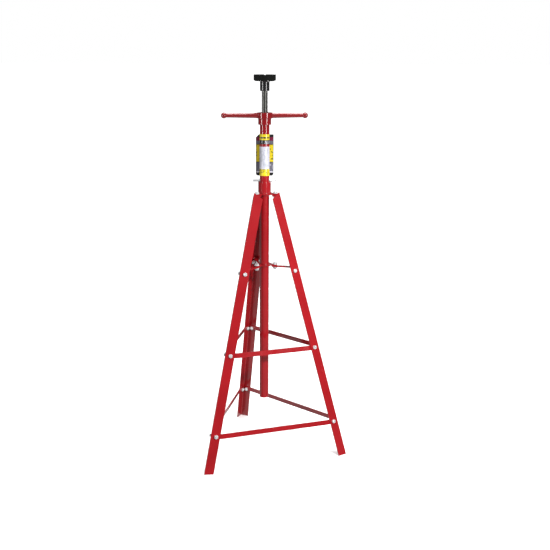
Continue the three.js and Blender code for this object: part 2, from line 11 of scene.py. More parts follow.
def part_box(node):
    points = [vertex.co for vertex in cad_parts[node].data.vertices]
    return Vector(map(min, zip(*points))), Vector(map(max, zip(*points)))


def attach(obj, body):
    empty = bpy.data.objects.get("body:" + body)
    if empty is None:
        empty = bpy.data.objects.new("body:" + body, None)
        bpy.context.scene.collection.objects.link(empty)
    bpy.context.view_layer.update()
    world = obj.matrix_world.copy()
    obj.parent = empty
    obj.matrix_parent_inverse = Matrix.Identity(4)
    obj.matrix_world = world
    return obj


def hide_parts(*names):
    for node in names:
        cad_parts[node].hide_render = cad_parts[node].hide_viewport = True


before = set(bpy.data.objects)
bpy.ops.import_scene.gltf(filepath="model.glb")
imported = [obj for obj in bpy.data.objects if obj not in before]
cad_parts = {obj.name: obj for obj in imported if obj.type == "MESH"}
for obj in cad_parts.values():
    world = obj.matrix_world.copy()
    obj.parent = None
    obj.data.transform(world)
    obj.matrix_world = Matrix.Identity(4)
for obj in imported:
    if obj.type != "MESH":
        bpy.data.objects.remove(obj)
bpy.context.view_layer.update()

MM = 0.001

# ---- how finely round shapes are divided -----------------------------------------------

ROUND = 96
ARM_ROUND = 48
ARM_STEPS = 40
WASHER_ROUND = 48
HEXAGON_ROUND = 48
BOLT_ROUND = 32
BEAD_ROUND = 10

# ---- driving dimensions, shared with the CAD -------------------------------------------

POST_LOW, POST_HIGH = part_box("post_tube")
AXIS_Y = (POST_LOW.y + POST_HIGH.y) / 2
AXIS = Matrix.Translation((0, AXIS_Y, 0))

LEG_AZIMUTHS = {"left": -150, "right": -30, "back": 90}
FOOT_RADIUS = 359 * MM
HEAD_RADIUS = 64 * MM
HEAD_HEIGHT = 1102 * MM
LEAN = math.atan((FOOT_RADIUS - HEAD_RADIUS) / HEAD_HEIGHT)
LEG_WALL = 3.2 * MM
BRACE_HEIGHTS = {"lower": 151 * MM, "upper": 473 * MM}
BRACE_T = 3.2 * MM
BRACKET_T = 3 * MM
GUIDE_BOLT_HEIGHT = 794.5 * MM
BOLT_FROM_CORNER = 22 * MM  # along a leg's flange
LUG_RADIUS = 45 * MM  # bolt circle of the head plate and the guide plate
TAB_SHOULDER = 44 * MM  # outward of this a leg's tab narrows into the leg's corner
ARM_WIDTH = 16 * MM
ARM_OUTER = 128.4 * MM
FIT = 0.3 * MM  # between pieces that rest on each other

BOLT_D = 9.5 * MM
BOLT_FLATS = 14.3 * MM
BOLT_HEAD = 6 * MM
BOLT_NUT = 6.4 * MM
BOLT_END = 2.2 * MM
WASHER_D = 20.6 * MM
WASHER_T = 1.6 * MM

COLLAR_R = 25.4 * MM
POST_FIT = 0.5 * MM  # radial clearance in the collar
POST_TURN = math.radians(-19)  # azimuth of the pin holes
POST_R = 19.05 * MM
POST_WALL = 3.2 * MM
PIN_HEIGHT = 1157 * MM
PIN_HOLE_D = 12 * MM
PIN_HOLE_PITCH = 150 * MM
PIN_HOLE_COUNT = 5

CUP_R = 25.65 * MM
CUP_FLOOR_T = 3 * MM
POCKET_R = 22.4 * MM

SCREW_R = 12.7 * MM
SCREW_FIT = 0.5 * MM  # radial clearance in the handle and the cup
SCREW_LEAD = 5.08 * MM
STOP_LENGTH = 9.3 * MM  # of the foot that carries the stop ring
STOP_STEP = 2.2 * MM  # how much thinner the foot is

HANDLE_TURN = math.radians(-11.6)  # azimuth of the arms
HUB_R = 29.2 * MM
HANDLE_ROOT_R = 10.6 * MM
HANDLE_TIP_R = 8 * MM
HANDLE_BALL_R = 11.5 * MM
HANDLE_REACH = 172.5 * MM  # from the axis to the far side of a ball

SOCKET_R = 18.75 * MM
SOCKET_FIT = 0.4 * MM
SADDLE_PLATE_R = 38 * MM
SADDLE_PLATE_T = 4 * MM
PAD_R = 43.5 * MM
PAD_EDGE = 1.5 * MM
GROOVE_HALF = 9 * MM
GROOVE_DEPTH = 3.5 * MM

# ---- details that only this model has --------------------------------------------------

BOLT_PITCH = 1.6 * MM
BOLT_THREAD_DEPTH = 0.6 * MM
BOLT_CHAMFER = 0.5 * MM
SHANK_IN_HEAD = 1 * MM
HEXAGON_FACE = 0.96  # share of the flats' radius that stays flat on a bolt's head or a nut
HEXAGON_RIM = 0.15 * MM  # how far the rim of that face is turned down
HEXAGON_CORNER = 0.9 * MM  # how much further its corners are
WASHER_EDGE = 0.25 * MM
THREAD_DEPTH = 2.5 * MM  # of the lift screw
ARM_START = 12 * MM  # how far from the axis an arm begins, inside the hub
ARM_FLARE = 0.9 * MM  # how much an arm swells where it leaves the hub
ARM_FLARE_LENGTH = 7 * MM
SOCKET_FILLET = 2 * MM
WELD_STEP = 1.3 * MM  # between the sections of a straight bead
TAB_WELD_R = 1.2 * MM
TAB_WELD_END = 1.5 * MM  # how far a tab's bead stops short of the leg's corner
ARM_WELD_R = 1.6 * MM
COLLAR_WELD_R = 2 * MM
COLLAR_WELD_OUT = 0.6 * MM  # from the collar's side to the middle of its bead
COLLAR_WELD_UP = 1 * MM
COLLAR_WELD_POINTS = 120
PAST = 1 * MM  # how far a cutting shape runs past what it cuts

CAMERA_LENS = 55.39
CAMERA_PLACE = (-1.0306, -3.3075, 1.620)
CAMERA_FORWARD = (0.30735, 0.9196, -0.2448)
CAMERA_ROLL = math.radians(0.31)
FLOOR_SIZE = 400
FLOOR_DROP = 0.5 * MM

YELLOW = (0.72, 0.58, 0.012)
BLACK = (0.012, 0.012, 0.012)
WHITE = (0.55, 0.55, 0.63)
RED = (0.26, 0.006, 0.01)
MAROON = (0.20, 0.006, 0.04)
GREY = (0.14, 0.14, 0.18)
FAINT = (0.27, 0.31, 0.33)


def heights_of(name):
    """The lowest and highest heights of a CAD node."""
    low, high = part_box(name)
    return low.z, high.z


# ---- camera, floor and light -----------------------------------------------------------


def make_camera():
    """The photograph's viewpoint, with its slight roll."""
    data = bpy.data.cameras.new("camera")
    data.lens = CAMERA_LENS
    camera = bpy.data.objects.new("camera", data)
    bpy.context.collection.objects.link(camera)
    forward = Vector(CAMERA_FORWARD).normalized()
    level = forward.to_track_quat("-Z", "Y").to_matrix().to_4x4()
    roll = Matrix.Rotation(CAMERA_ROLL, 4, "Z")
    camera.matrix_world = Matrix.Translation(CAMERA_PLACE) @ level @ roll
    bpy.context.scene.camera = camera


def make_floor(material):
    """A floor too wide for its edge to show, left out of mirrors and bounced light, because the
    world already holds a pale floor for those."""
    bm = bmesh.new()
    bmesh.ops.create_grid(bm, x_segments=8, y_segments=8, size=FLOOR_SIZE)
    floor = mesh_object("floor", bm, material)
    floor.location.z = -FLOOR_DROP
    floor.visible_glossy = False
    floor.visible_diffuse = False


def make_light(name, kind, place, target, power):
    """A light of so many watts at a place, aimed at a target."""
    data = bpy.data.lights.new(name, kind)
    data.energy = power
    light = bpy.data.objects.new(name, data)
    bpy.context.collection.objects.link(light)
    light.location = place
    aim = Vector(target) - Vector(place)
    light.rotation_euler = aim.to_track_quat("-Z", "Y").to_euler()
    return light


def make_softbox(name, place, target, size, power, mirrored=True):
    """A rectangular light, which the paint shows as a highlight unless mirrored is False."""
    light = make_light(name, "AREA", place, target, power)
    light.data.shape = "RECTANGLE"
    light.data.size, light.data.size_y = size
    light.visible_glossy = mirrored


def make_lights():
    """A key from the front right with crisp shadows, fading out above the head of the tripod, two
    upright strips whose reflections are the pair of highlights down the post, a soft box overhead
    and a fill from behind, which would wash out the flat legs if they mirrored it."""
    key = make_light("key", "SPOT", (1.1, -3.1, 2.3), (0, 0, 0.45), 620).data
    key.shadow_soft_size = 0.12
    key.spot_size = math.radians(30)
    key.spot_blend = 0.6
    make_softbox("strip_right", (1.15, -2.85, 1.25), (0, 0, 1.25), (0.4, 0.8), 26)
    make_softbox("strip_left", (-2.85, -1.0, 1.25), (0, 0, 1.25), (0.4, 0.7), 19)
    make_softbox("overhead", (0.4, 0.2, 4.2), (0, 0, 0), (1.4, 1.4), 85)
    make_softbox("back_fill", (-0.6, 4.0, 2.2), (0, 0, 0.8), (2, 2), 90, mirrored=False)


def set_ramp(ramp, stops):
    """Gives a colour ramp these (position, colour) stops, from the lowest up."""
    while len(ramp.elements) < len(stops):
        ramp.elements.new(1.0)
    for element, (position, colour) in zip(ramp.elements, stops):
        element.position = position
        element.color = (*colour, 1)


def make_world():
    """The camera sees plain white. The stand is lit by a dimmer room and mirrors it: a pale floor,
    dark at eye level and pale overhead."""
    world = bpy.data.worlds.new("studio")
    world.use_nodes = True
    nodes, links = world.node_tree.nodes, world.node_tree.links
    axes = nodes.new("ShaderNodeSeparateXYZ")
    links.new(nodes.new("ShaderNodeTexCoord").outputs["Generated"], axes.inputs["Vector"])
    upward = nodes.new("ShaderNodeMapRange")
    upward.inputs["From Min"].default_value = -1
    links.new(axes.outputs["Z"], upward.inputs["Value"])
    room = nodes.new("ShaderNodeValToRGB")
    greys = ((0.2, 0.7), (0.45, 0.14), (0.55, 0.14), (0.85, 0.9))
    set_ramp(room.color_ramp, [(height, (grey, grey, grey)) for height, grey in greys])
    links.new(upward.outputs["Result"], room.inputs["Fac"])
    seen = nodes.new("ShaderNodeMix")
    seen.data_type = "RGBA"
    links.new(nodes.new("ShaderNodeLightPath").outputs["Is Camera Ray"], seen.inputs["Factor"])
    links.new(room.outputs["Color"], seen.inputs[6])
    seen.inputs[7].default_value = (1, 1, 1, 1)
    links.new(seen.outputs[2], nodes["Background"].inputs["Color"])
    bpy.context.scene.world = world
    bpy.context.scene.view_settings.view_transform = "Standard"


# ---- shader helpers --------------------------------------------------------------------


class Shader:
    """A material with one Principled shader, and short calls for the nodes that feed it."""

    def __init__(self, name, **settings):
        self.material = bpy.data.materials.new(name)
        self.material.use_nodes = True
        self.tree = self.material.node_tree
        self.principled = self.tree.nodes["Principled BSDF"]
        for label, value in settings.items():
            self.principled.inputs[label.replace("_", " ")].default_value = value
        self.place = self.node("ShaderNodeTexCoord").outputs["Object"]

    def node(self, kind, **properties):
        made = self.tree.nodes.new(kind)
        for label, value in properties.items():
            setattr(made, label, value)
        return made

    def link(self, source, target):
        self.tree.links.new(source, target)

    def feed(self, label, source):
        self.link(source, self.principled.inputs[label])

    def noise(self, scale, detail=4.0, stretch=(1, 1, 1)):
        mapping = self.node("ShaderNodeMapping")
        mapping.inputs["Scale"].default_value = stretch
        self.link(self.place, mapping.inputs["Vector"])
        made = self.node("ShaderNodeTexNoise")
        made.inputs["Scale"].default_value = scale
        made.inputs["Detail"].default_value = detail
        self.link(mapping.outputs["Vector"], made.inputs["Vector"])
        return made.outputs["Fac"]

    def map_range(self, source, low, high, to_low, to_high):
        made = self.node("ShaderNodeMapRange")
        self.link(source, made.inputs["Value"])
        for label, value in (
            ("From Min", low),
            ("From Max", high),
            ("To Min", to_low),
            ("To Max", to_high),
        ):
            made.inputs[label].default_value = value
        return made.outputs["Result"]

    def ramp(self, source, stops, interpolation="LINEAR"):
        made = self.node("ShaderNodeValToRGB")
        made.color_ramp.interpolation = interpolation
        set_ramp(made.color_ramp, stops)
        self.link(source, made.inputs["Fac"])
        return made.outputs["Color"]

    def mix(self, factor, first, second):
        """Mixes two colours, each a socket or a plain colour."""
        made = self.node("ShaderNodeMix", data_type="RGBA")
        self.link(factor, made.inputs["Factor"])
        for socket, value in ((made.inputs[6], first), (made.inputs[7], second)):
            if isinstance(value, tuple):
                socket.default_value = (*value, 1)
            else:
                self.link(value, socket)
        return made.outputs[2]

    def math(self, operation, first, second):
        made = self.node("ShaderNodeMath", operation=operation)
        for socket, value in zip(made.inputs, (first, second)):
            if isinstance(value, (int, float)):
                socket.default_value = value
            else:
                self.link(value, socket)
        return made.outputs["Value"]

    def worn_edges(self, radius, low, high):
        """1 where an edge is rubbed, broken up by noise, and 0 elsewhere."""
        bevel = self.node("ShaderNodeBevel", samples=4)
        bevel.inputs["Radius"].default_value = radius
        geometry = self.node("ShaderNodeNewGeometry")
        dot = self.node("ShaderNodeVectorMath", operation="DOT_PRODUCT")
        self.link(bevel.outputs["Normal"], dot.inputs[0])
        self.link(geometry.outputs["Normal"], dot.inputs[1])
        edge = self.map_range(dot.outputs["Value"], 1.0, 0.8, 0.0, 1.0)
        return self.map_range(self.math("MULTIPLY", edge, self.noise(140)), low, high, 0.0, 1.0)

    def bump(self, height, strength, distance):
        made = self.node("ShaderNodeBump")
        made.inputs["Strength"].default_value = strength
        made.inputs["Distance"].default_value = distance
        self.link(height, made.inputs["Height"])
        self.feed("Normal", made.outputs["Normal"])


# ---- materials -------------------------------------------------------------------------


def red_enamel():
    """Gloss enamel with a little orange peel, uneven film, and rubbed edges."""
    shader = Shader("red_enamel", Specular_IOR_Level=0.25, Coat_Weight=0.8, Coat_Roughness=0.05)
    film = shader.noise(9, 3)
    paint = shader.ramp(film, [(0.3, (0.25, 0.004, 0.007)), (0.7, (0.30, 0.006, 0.010))])
    worn = shader.worn_edges(0.6 * MM, 0.62, 0.8)
    shader.feed("Base Color", shader.mix(worn, paint, (0.10, 0.05, 0.045)))
    smear = shader.map_range(shader.noise(26, 5), 0.3, 0.75, 0.16, 0.30)
    shader.feed("Roughness", smear)
    shader.bump(shader.noise(420, 2), 0.10, 0.4 * MM)
    return shader.material


def zinc_plate():
    """Bright zinc on the fasteners, faintly clouded."""
    shader = Shader("zinc_plate", Metallic=0.6)
    cloud = shader.noise(210, 5)
    plate = shader.ramp(cloud, [(0.3, (0.62, 0.63, 0.65)), (0.7, (0.90, 0.91, 0.92))])
    shader.feed("Base Color", plate)
    shader.feed("Roughness", shader.map_range(cloud, 0.3, 0.7, 0.20, 0.36))
    shader.bump(shader.noise(900, 2), 0.15, 0.1 * MM)
    return shader.material


def chrome_plate():
    """Bright plating on the lock pin and its ring, with a haze of handling."""
    shader = Shader("chrome_plate", Metallic=0.85)
    haze = shader.noise(120, 4)
    plate = shader.ramp(haze, [(0.3, (0.78, 0.79, 0.80)), (0.7, (0.90, 0.91, 0.92))])
    shader.feed("Base Color", plate)
    shader.feed("Roughness", shader.map_range(haze, 0.3, 0.8, 0.08, 0.22))
    shader.bump(shader.noise(60, 3, (1, 1, 12)), 0.05, 0.1 * MM)
    return shader.material


def machined_steel(name, dark, light, stretch):
    """Turned steel with fine tool marks across the axis, and old oil in patches."""
    shader = Shader(name, Metallic=1.0)
    oil = shader.noise(45, 5)
    shader.feed("Base Color", shader.ramp(oil, [(0.32, dark), (0.68, light)]))
    shader.feed("Roughness", shader.map_range(oil, 0.3, 0.7, 0.30, 0.40))
    shader.bump(shader.noise(70, 2, stretch), 0.12, 0.1 * MM)
    return shader.material


def black_enamel():
    """Gloss black on the saddle's socket, rubbed grey along its edges."""
    shader = Shader("black_enamel", Coat_Weight=0.5, Coat_Roughness=0.08)
    film = shader.noise(40, 4)
    paint = shader.ramp(film, [(0.3, (0.008, 0.008, 0.009)), (0.7, (0.02, 0.02, 0.022))])
    worn = shader.worn_edges(0.5 * MM, 0.55, 0.75)
    shader.feed("Base Color", shader.mix(worn, paint, (0.2, 0.2, 0.2)))
    shader.feed("Roughness", shader.map_range(film, 0.3, 0.7, 0.18, 0.32))
    shader.bump(shader.noise(500, 2), 0.08, 0.3 * MM)
    return shader.material


def moulded_rubber():
    """Mottled black rubber: bloom in patches, dust in the grain."""
    shader = Shader("moulded_rubber", Specular_IOR_Level=0.15)
    grain = shader.noise(320, 6)
    bloom = shader.noise(38, 4)
    base = shader.ramp(bloom, [(0.35, (0.004, 0.005, 0.004)), (0.7, (0.013, 0.014, 0.013))])
    dust = shader.map_range(grain, 0.60, 0.72, 0.0, 0.4)
    shader.feed("Base Color", shader.mix(dust, base, (0.06, 0.062, 0.058)))
    shader.feed("Roughness", shader.map_range(bloom, 0.3, 0.7, 0.62, 0.88))
    shader.bump(grain, 0.35, 0.5 * MM)
    return shader.material


def floor_paint():
    """Pale floor with a painted glow that rises to white away from the stand, so that it runs into the
    backdrop.
    """
    shader = Shader("floor_paint", Roughness=0.7, Emission_Color=(1, 1, 1, 1))
    shade = shader.noise(0.8, 3)
    pale = [(0.3, (0.84, 0.84, 0.84)), (0.7, (0.87, 0.87, 0.87))]
    shader.feed("Base Color", shader.ramp(shade, pale))
    distance = shader.node("ShaderNodeVectorMath", operation="LENGTH")
    shader.link(shader.place, distance.inputs[0])
    # painted glow: the floor gives off more light the further it is from the stand
    glow = shader.map_range(distance.outputs["Value"], 1.5, 5.0, 0.15, 0.65)
    shader.feed("Emission Strength", glow)
    return shader.material


def printed(name, node, bands, marks, border=None):
    """Coated print on a label. Heights are in mm above the label's lower edge. bands are (height,
    colour) from the bottom up. marks are (low, high, spacing, sparseness, colour): rows of broken
    rules that stand for print without being it. border is (width, colour) down both side edges."""
    bottom, top = heights_of(node)
    shader = Shader(name, Coat_Weight=0.3, Coat_Roughness=0.15)
    axes = shader.node("ShaderNodeSeparateXYZ")
    shader.link(shader.place, axes.inputs["Vector"])
    tall = (top - bottom) / MM
    height = shader.map_range(axes.outputs["Z"], bottom, top, 0.0, tall)
    share = shader.map_range(height, 0.0, tall, 0.0, 1.0)
    colour = shader.ramp(share, [(low / tall, ink) for low, ink in bands], "CONSTANT")
    for low, high, spacing, sparseness, ink in marks:
        phase = shader.math("FRACT", shader.math("DIVIDE", height, spacing), 0.0)
        row = shader.math("LESS_THAN", phase, 0.45)
        broken = shader.math("GREATER_THAN", shader.noise(190, 1, (1, 1, 0.3)), sparseness)
        above = shader.math("GREATER_THAN", height, low)
        below = shader.math("LESS_THAN", height, high)
        inside = shader.math("MULTIPLY", above, below)
        shown = shader.math("MULTIPLY", inside, shader.math("MULTIPLY", row, broken))
        colour = shader.mix(shown, colour, ink)
    if border:
        width, ink = border
        left, right = (corner.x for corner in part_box(node))
        from_middle = shader.math("SUBTRACT", axes.outputs["X"], (left + right) / 2)
        sideways = shader.math("ABSOLUTE", from_middle, 0.0)
        edge = (right - left) / 2 - width * MM
        colour = shader.mix(shader.math("GREATER_THAN", sideways, edge), colour, ink)
    shader.feed("Base Color", colour)
    shader.feed("Roughness", shader.map_range(shader.noise(60, 4), 0.3, 0.7, 0.25, 0.45))
    shader.bump(shader.noise(300, 3), 0.06, 0.1 * MM)
    return shader.material


# ---- mesh helpers ----------------------------------------------------------------------


def mesh_object(name, bm, material, smooth_angle=None):
    """Turns bm into a linked object. Edges flatter than smooth_angle degrees are shaded smooth."""
    bmesh.ops.recalc_face_normals(bm, faces=bm.faces)
    if smooth_angle is not None:
        for face in bm.faces:
            face.smooth = True
        for edge in bm.edges:
            edge.smooth = edge.calc_face_angle(0) < math.radians(smooth_angle)
    mesh = bpy.data.meshes.new(name)
    bm.to_mesh(mesh)
    bm.free()
    mesh.materials.append(material)
    made = bpy.data.objects.new(name, mesh)
    bpy.context.collection.objects.link(made)
    return made


def add_bevel(made, width, segments=3, angle=40):
    bevel = made.modifiers.new("edge", "BEVEL")
    bevel.width = width
    bevel.segments = segments
    bevel.limit_method = "ANGLE"
    bevel.angle_limit = math.radians(angle)
    bevel.harden_normals = True


def stand_for(made, body, slot, *nodes):
    """The piece rides on its body and stands for these CAD nodes, which are hidden. slot is not used.
    """
    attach(made, body)
    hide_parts(*nodes)


def add_turned(bm, profile, matrix, segments=ROUND):
    """A closed body turned about Z from (radius, height) points. A point on the axis ends in a fan."""
    rings = []
    for radius, height in profile:
        if radius < 1e-7:
            rings.append([bm.verts.new(matrix @ Vector((0, 0, height)))])
            continue
        angles = [2 * math.pi * i / segments for i in range(segments)]
        rings.append([
            bm.verts.new(matrix @ Vector((radius * math.cos(a), radius * math.sin(a), height)))
            for a in angles
        ])
    pairs = list(zip(rings, rings[1:]))
    if len(rings[0]) > 1:
        pairs.append((rings[-1], rings[0]))
    for first, second in pairs:
        for i in range(segments):
            j = (i + 1) % segments
            ends = ((first, i), (first, j), (second, j), (second, i))
            unique = list(dict.fromkeys(ring[k % len(ring)] for ring, k in ends))
            if len(unique) > 2:
                bm.faces.new(unique)


def turned_object(name, profile, material, matrix=AXIS, segments=ROUND, smooth_angle=40):
    bm = bmesh.new()
    add_turned(bm, profile, matrix, segments)
    return mesh_object(name, bm, material, smooth_angle)


def turned_piece(name, profile, material, bevel):
    """A turned object on the stand's axis, with its edges rounded."""
    made = turned_object(name, profile, material)
    add_bevel(made, bevel)
    return made


def combine(made, operation, tool):
    """Joins a tool's shape to an object, or cuts it out, and removes the tool."""
    boolean = made.modifiers.new("combine", "BOOLEAN")
    boolean.object = tool
    boolean.operation = operation
    boolean.solver = "EXACT"
    depsgraph = bpy.context.evaluated_depsgraph_get()
    mesh = bpy.data.meshes.new_from_object(made.evaluated_get(depsgraph))
    if not mesh.polygons:
        raise ValueError(f"{operation} left nothing of {made.name}")
    made.modifiers.clear()
    made.data = mesh
    bpy.data.objects.remove(tool)


# ---- CAD nodes that stay ---------------------------------------------------------------


def smooth_shading():
    """A node group for a modifier that shades an object smooth and leaves its mesh alone."""
    group = bpy.data.node_groups.new("smooth_shading", "GeometryNodeTree")
    for way in ("INPUT", "OUTPUT"):
        group.interface.new_socket("Geometry", in_out=way, socket_type="NodeSocketGeometry")
    start = group.nodes.new("NodeGroupInput")
    smooth = group.nodes.new("GeometryNodeSetShadeSmooth")
    end = group.nodes.new("NodeGroupOutput")
    group.links.new(start.outputs[0], smooth.inputs[0])
    group.links.new(smooth.outputs[0], end.inputs[0])
    return group


def finish_cad_node(name, material, bevel, shading=None):
    """Keeps a CAD node whose shape is right. Modifiers soften its edges, and shade it smooth where
    shading is given, and its material slots take a proper material."""
    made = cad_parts[name]
    if shading:
        made.modifiers.new("shading", "NODES").node_group = shading
    weld = made.modifiers.new("weld", "WELD")
    weld.merge_threshold = 0.01 * MM
    add_bevel(made, bevel, 2, 50)
    for slot in made.material_slots:
        slot.material = material


# ---- fasteners -------------------------------------------------------------------------


def add_hexagon(bm, bottom, top, matrix):
    """A hexagon whose corners are turned off to a cone at both ends, as on a bolt head or nut."""
    inscribed = BOLT_FLATS / 2
    corner = BOLT_FLATS / math.sqrt(3)
    rings = []
    for height, inward, on_face in (
        (bottom, 1, True),
        (bottom, 1, False),
        (top, -1, False),
        (top, -1, True),
    ):
        ring = []
        for i in range(HEXAGON_ROUND):
            angle = 2 * math.pi * i / HEXAGON_ROUND
            to_flat = (angle % (math.pi / 3)) - math.pi / 6
            reach = inscribed / math.cos(to_flat)
            excess = (reach - inscribed) / (corner - inscribed)
            drop = 0 if on_face else HEXAGON_RIM + HEXAGON_CORNER * excess
            radius = inscribed * HEXAGON_FACE if on_face else reach
            level = height + inward * drop
            place = Vector((radius * math.cos(angle), radius * math.sin(angle), level))
            ring.append(bm.verts.new(matrix @ place))
        rings.append(ring)
    for first, second in zip(rings, rings[1:]):
        for i in range(HEXAGON_ROUND):
            j = (i + 1) % HEXAGON_ROUND
            bm.faces.new([first[i], first[j], second[j], second[i]])
    bm.faces.new(rings[0])
    bm.faces.new(rings[-1])


def add_threaded_end(bm, bottom, top, matrix):
    """The bolt's shank and end, with rings for its thread and a chamfered tip."""
    radius = BOLT_D / 2
    root = radius - BOLT_THREAD_DEPTH
    height = bottom + BOLT_CHAMFER
    profile = [(0, bottom), (root - BOLT_CHAMFER, bottom), (root, height)]
    while height + BOLT_PITCH < top:
        profile.append((radius, height + BOLT_PITCH / 2))
        profile.append((root, height + BOLT_PITCH))
        height += BOLT_PITCH
    profile += [(radius, top), (0, top)]
    add_turned(bm, profile, matrix, BOLT_ROUND)


def add_washer(bm, bottom, top, matrix):
    radius = WASHER_D / 2
    profile = [
        (BOLT_D / 2, bottom),
        (radius - WASHER_EDGE, bottom),
        (radius, bottom + WASHER_EDGE),
        (radius, top - WASHER_EDGE),
        (radius - WASHER_EDGE, top),
        (BOLT_D / 2, top),
    ]
    add_turned(bm, profile, matrix, WASHER_ROUND)


def make_bolt(node, matrix, grip, washers, material):
    """A bolt whose head bears on the matrix's Z = 0 from above, with its nut below the grip."""
    seat = WASHER_T if washers else 0
    face = FIT + seat
    back = -grip - FIT - seat
    bm = bmesh.new()
    add_hexagon(bm, face, face + BOLT_HEAD, matrix)
    add_hexagon(bm, back - BOLT_NUT, back, matrix)
    add_threaded_end(bm, back - BOLT_NUT - BOLT_END, face + SHANK_IN_HEAD, matrix)
    if washers:
        for low, high in ((FIT, face), (back, back + seat)):
            add_washer(bm, low, high, matrix)
    made = mesh_object(node + "_fine", bm, material, 30)
    stand_for(made, "stand", "zinc", node)


def flange_matrix(azimuth, side, height):
    """A flange bolt's axis, with Z = 0 on the flange's outer face. Seen from outside the stand,
    side +1 is the flange on the right and side -1 the one on the left."""
    leaning = Matrix.Translation((FOOT_RADIUS, 0, 0)) @ Matrix.Rotation(-LEAN, 4, "Y")
    place = BOLT_FROM_CORNER * math.sqrt(0.5)
    along = (height + place * math.sin(LEAN)) / math.cos(LEAN)
    flange = Matrix.Translation((-place, side * place, along))
    turn = Matrix.Rotation(side * math.pi / 4, 4, "Z") @ Matrix.Rotation(math.pi / 2, 4, "Y")
    return AXIS @ Matrix.Rotation(math.radians(azimuth), 4, "Z") @ leaning @ flange @ turn


def make_bolts(material):
    """Each leg has a brace bolt in both flanges at both levels, a bracket bolt in both flanges, and
    one bolt each through its lugs of the head plate and the guide plate."""
    brace_grip = LEG_WALL + FIT + BRACE_T
    bracket_grip = LEG_WALL + FIT + BRACKET_T
    for where, azimuth in LEG_AZIMUTHS.items():
        for hand, side in (("a", 1), ("b", -1)):
            for level, height in BRACE_HEIGHTS.items():
                matrix = flange_matrix(azimuth, side, height)
                make_bolt(f"brace_bolt_{level}_{where}_{hand}", matrix, brace_grip, False, material)
            matrix = flange_matrix(azimuth, side, GUIDE_BOLT_HEIGHT)
            make_bolt(f"guide_bracket_bolt_{where}_{hand}", matrix, bracket_grip, False, material)
        for level, tab in (("head", "leg_tab"), ("guide", "guide_arm")):
            top = heights_of(f"{level}_plate")[1]
            grip = top - heights_of(f"{tab}_{where}")[0]
            turn = AXIS @ Matrix.Rotation(math.radians(azimuth), 4, "Z")
            matrix = turn @ Matrix.Translation((LUG_RADIUS, 0, top))
            make_bolt(f"{level}_bolt_{where}", matrix, grip, True, material)


# ---- tripod ----------------------------------------------------------------------------


def make_weld_bead(name, points, radius, material, closed=False):
    """A rippled bead laid along a level run of points."""
    count = len(points)
    bm = bmesh.new()
    rings = []
    for i, point in enumerate(points):
        before = points[(i - 1) % count] if closed or i else point
        after = points[(i + 1) % count] if closed or i < count - 1 else point
        forward = (after - before).normalized()
        across = forward.cross(Vector((0, 0, 1))).normalized()
        up = across.cross(forward)
        swell = radius * (0.86 + 0.14 * math.cos(i * 2.1) + 0.05 * noise.noise(point * 900))
        ring = [
            bm.verts.new(point + swell * (math.cos(a) * across + math.sin(a) * up))
            for a in (2 * math.pi * k / BEAD_ROUND for k in range(BEAD_ROUND))
        ]
        rings.append(ring)
    pairs = list(zip(rings, rings[1:]))
    if closed:
        pairs.append((rings[-1], rings[0]))
    else:
        bm.faces.new(rings[0])
        bm.faces.new(rings[-1])
    for first, second in pairs:
        for k in range(BEAD_ROUND):
            m = (k + 1) % BEAD_ROUND
            bm.faces.new([first[k], first[m], second[m], second[k]])
    made = mesh_object(name, bm, material, 60)
    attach(made, "stand")


def straight_run(start, end):
    """Points along a line, near enough together for the ripples of a weld."""
    count = math.ceil((end - start).length / WELD_STEP) + 1
    return [start.lerp(end, i / (count - 1)) for i in range(count)]


def make_spoke_welds(where, turn, paint):
    """The beads that hold a leg's tab in its angle, and a guide arm in its bracket."""
    tab_top = heights_of(f"leg_tab_{where}")[1]
    arm_top = heights_of(f"guide_arm_{where}")[1]
    corner = FOOT_RADIUS - tab_top * math.tan(LEAN) - LEG_WALL * math.sqrt(2) / math.cos(LEAN)
    for hand, side in (("a", 1), ("b", -1)):
        start = Vector((TAB_SHOULDER, side * (corner - TAB_SHOULDER) * math.cos(LEAN), tab_top))
        end = Vector((corner - TAB_WELD_END, side * TAB_WELD_END, tab_top))
        run = [turn @ point for point in straight_run(start, end)]
        make_weld_bead(f"tab_weld_{where}_{hand}", run, TAB_WELD_R, paint)
    half = ARM_WIDTH / 2
    run = straight_run(Vector((ARM_OUTER, -half, arm_top)), Vector((ARM_OUTER, half, arm_top)))
    make_weld_bead(f"arm_weld_{where}", [turn @ point for point in run], ARM_WELD_R, paint)


def make_collar(paint):
    """The collar, and the bead that holds it to the head plate."""
    low, high = heights_of("head_collar")
    bore = POST_R + POST_FIT
    profile = [(bore, low), (COLLAR_R, low), (COLLAR_R, high), (bore, high)]
    collar = turned_piece("head_collar_fine", profile, paint, bevel=0.5 * MM)
    stand_for(collar, "stand", "red_paint", "head_collar")
    radius, height = COLLAR_R + COLLAR_WELD_OUT, low + COLLAR_WELD_UP
    bead = [
        AXIS @ Vector((radius * math.cos(a), radius * math.sin(a), height))
        for a in (2 * math.pi * i / COLLAR_WELD_POINTS for i in range(COLLAR_WELD_POINTS))
    ]
    make_weld_bead("collar_weld", bead, COLLAR_WELD_R, paint, closed=True)


def make_tripod(paint):
    for where in LEG_AZIMUTHS:
        finish_cad_node(f"leg_{where}", paint, bevel=0.6 * MM)
        for kind in ("leg_tab", "guide_arm", "guide_bracket"):
            finish_cad_node(f"{kind}_{where}", paint, bevel=0.5 * MM)
    for level in BRACE_HEIGHTS:
        for where in ("front", "left", "right"):
            finish_cad_node(f"brace_{level}_{where}", paint, bevel=0.5 * MM)
    for name in ("head_plate", "guide_plate"):
        finish_cad_node(name, paint, bevel=2 * MM)
    make_collar(paint)
    for where, azimuth in LEG_AZIMUTHS.items():
        make_spoke_welds(where, AXIS @ Matrix.Rotation(math.radians(azimuth), 4, "Z"), paint)


# ---- post, bearing and handle ----------------------------------------------------------


